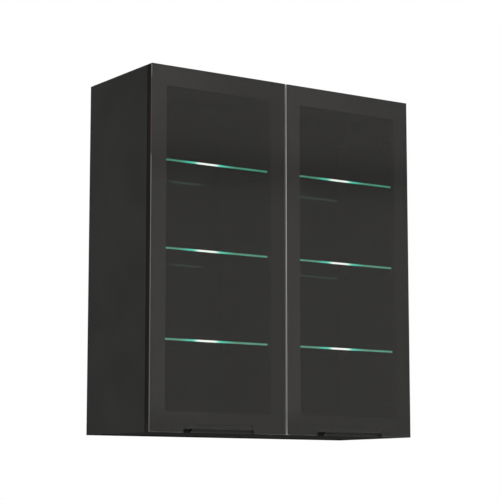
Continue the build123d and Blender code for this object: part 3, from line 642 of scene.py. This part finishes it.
# ---------------------------------------------------------------- panes
def notch_box(node):
    """The finger notch in a pane's bottom edge: its two ends and its height."""
    low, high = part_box(node)
    inside = [
        vertex.co
        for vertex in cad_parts[node].data.vertices
        if low.x + NOTCH_FROM_SIDE < vertex.co.x < high.x - NOTCH_FROM_SIDE
        and vertex.co.z < (low.z + high.z) / 2
    ]
    ends = [point.x for point in inside]
    return min(ends), max(ends), max(point.z for point in inside)


def corner(x, z, start, turn):
    """A rounded corner of the notch about its centre, from one angle through a turn."""
    points = []
    for step in range(NOTCH_CORNER_STEPS + 1):
        angle = math.radians(start + turn * step / NOTCH_CORNER_STEPS)
        points.append((x + NOTCH_CORNER * math.cos(angle), z + NOTCH_CORNER * math.sin(angle)))
    return points


def pane_outline(node):
    """The pane's outline from the front, as X and Z, with the finger notch in its bottom edge."""
    low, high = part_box(node)
    notch_start, notch_end, notch_top = notch_box(node)
    centre_z = notch_top - NOTCH_CORNER
    outline = [(low.x, low.z), (notch_start, low.z)]
    outline += corner(notch_start + NOTCH_CORNER, centre_z, 180, -90)
    outline += corner(notch_end - NOTCH_CORNER, centre_z, 90, -90)
    return outline + [(notch_end, low.z), (high.x, low.z), (high.x, high.z), (low.x, high.z)]


def door_pane(side, glass, edge):
    """The tinted pane, a glue line in front of its frame, with rounded polished edges."""
    node = f"{side}_door_glass"
    low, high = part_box(node)
    depth = high.y - PANE_GLUE_LINE - low.y
    shape = bmesh.new()
    face = shape.faces.new([shape.verts.new((x, low.y, z)) for x, z in pane_outline(node)])
    grown = bmesh.ops.extrude_face_region(shape, geom=[face])
    moved = [item for item in grown["geom"] if isinstance(item, bmesh.types.BMVert)]
    bmesh.ops.translate(shape, verts=moved, vec=(0, depth, 0))
    bmesh.ops.recalc_face_normals(shape, faces=shape.faces)
    rims = [
        line for line in shape.edges
        if abs(line.verts[0].co.y - line.verts[1].co.y) < SAME_PLACE
    ]
    bmesh.ops.bevel(
        shape, geom=rims, offset=PANE_ARRIS, segments=2, profile=0.5, affect="EDGES"
    )
    for item in shape.faces:
        is_flat = abs(item.normal.y) > SQUARE_ON
        item.material_index = 0 if is_flat else 1
        item.smooth = not is_flat
    mesh = bpy.data.meshes.new(f"{side}_door_pane")
    shape.to_mesh(mesh)
    shape.free()
    mesh.materials.append(glass)
    mesh.materials.append(edge)
    pane = bpy.data.objects.new(f"{side}_door_pane", mesh)
    bpy.context.scene.collection.objects.link(pane)
    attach(pane, f"{side}_door")
    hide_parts(node)


# ---------------------------------------------------------------- finish the CAD pieces
def dress(names, finish):
    for name in names:
        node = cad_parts[name]
        node.data.materials.clear()
        node.data.materials.append(finish)


def shared_finishes():
    """The finishes that pieces of the cabinet and of the doors have in common."""
    return {
        "beech": beech_wood(),
        "nickel": plated_metal("black_nickel", colour(0.045, 0.044, 0.042), 0.38),
        "dark_zinc": plated_metal("black_zinc", colour(0.050, 0.050, 0.052), 0.45),
    }


def dress_cabinet(shared):
    carcass = laminated_board("anthracite_laminate", grey(0.0335))
    dress([f"{side}_side_panel" for side in SIDES], carcass)
    dress(["top_panel", "centre_partition"], carcass)
    # Painted shade: the bottom panel is a darker copy of the same anthracite laminate, for its
    # underside out of the light.
    dress(["bottom_panel"], laminated_board("bottom_laminate_painted_shade", grey(0.0275)))
    dress(["back_panel"], hardboard())
    dress(["carcass_dowels"], shared["beech"])
    zinc = plated_metal("zinc_plate", colour(0.62, 0.64, 0.66), 0.34)
    cast = plated_metal("cast_zinc", colour(0.50, 0.50, 0.51), 0.48, (1.0, 1.0, 1.0), 900.0)
    dress(["cam_locks"], cast)
    dress(["cam_bolts", "hanger_hooks"], zinc)
    dress(["partition_screws", "hanger_adjusters", "hanger_screws"], shared["dark_zinc"])
    dress(["cam_caps"], moulded("cap_plastic", grey(0.020), 0.55))
    dress(["hanger_housings"], moulded("hanger_plastic", grey(0.025), 0.5))
    dress(["cable_grommets"], moulded("grommet_rubber", grey(0.018), 0.75, 600.0))
    for side in SIDES:
        dress([f"{side}_hinge_screws"], shared["dark_zinc"])
        for piece in ("shelf_pegs", "hinge_plates", "hinge_arms"):
            dress([f"{side}_{piece}"], shared["nickel"])


def dress_shelves():
    clip = moulded("clip_plastic", grey(0.012), 0.6)
    lens = light_lens()
    for side in SIDES:
        low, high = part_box(f"{side}_light_clips")
        clip_x = (low.x + high.x) / 2
        dress([f"{side}_light_clips"], clip)
        dress([f"{side}_light_lenses"], lens)
        for level in SHELF_LEVELS:
            node = f"{side}_{level}_shelf"
            dress([node], shelf_glass(side, level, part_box(node), clip_x))


def dress_doors(shared):
    bumper = moulded("bumper_rubber", grey(0.20), 0.6, 800.0)
    glass = tinted_glass()
    notch_start, notch_end, _ = notch_box("right_door_glass")
    edge = ground_glass_edge((notch_start + notch_end) / 2, (notch_end - notch_start) / 2)
    for side in SIDES:
        door = f"{side}_door"
        stiles = [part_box(f"{door}_{place}_stile") for place in ("hinge", "meeting")]
        opening = min(high.x for _, high in stiles), max(low.x for low, _ in stiles)
        grip_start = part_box(f"{door}_grip")[0].x
        grip_end = grip_start + GRIP_END_POCKET
        pane_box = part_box(f"{door}_glass")
        board = door_frame_board(f"{door}_board", pane_box, opening, grip_end, FRAME_PAINTED_FADE[side])
        dress([f"{door}_hinge_stile", f"{door}_meeting_stile"], board)
        dress([f"{door}_top_rail", f"{door}_bottom_rail"], board)
        dress([f"{door}_dowels"], shared["beech"])
        dress([f"{door}_hinge_cups", f"{door}_hinge_pins"], shared["nickel"])
        dress([f"{door}_grip_screws", f"{door}_cup_screws"], shared["dark_zinc"])
        dress([f"{door}_bumpers"], bumper)
        dress([f"{door}_grip"], anodised_grip(f"{door}_grip_metal", grip_start))
        door_pane(side, glass, edge)


studio_camera()
studio_light()
studio_floor()
finishes = shared_finishes()
dress_cabinet(finishes)
dress_shelves()
dress_doors(finishes)
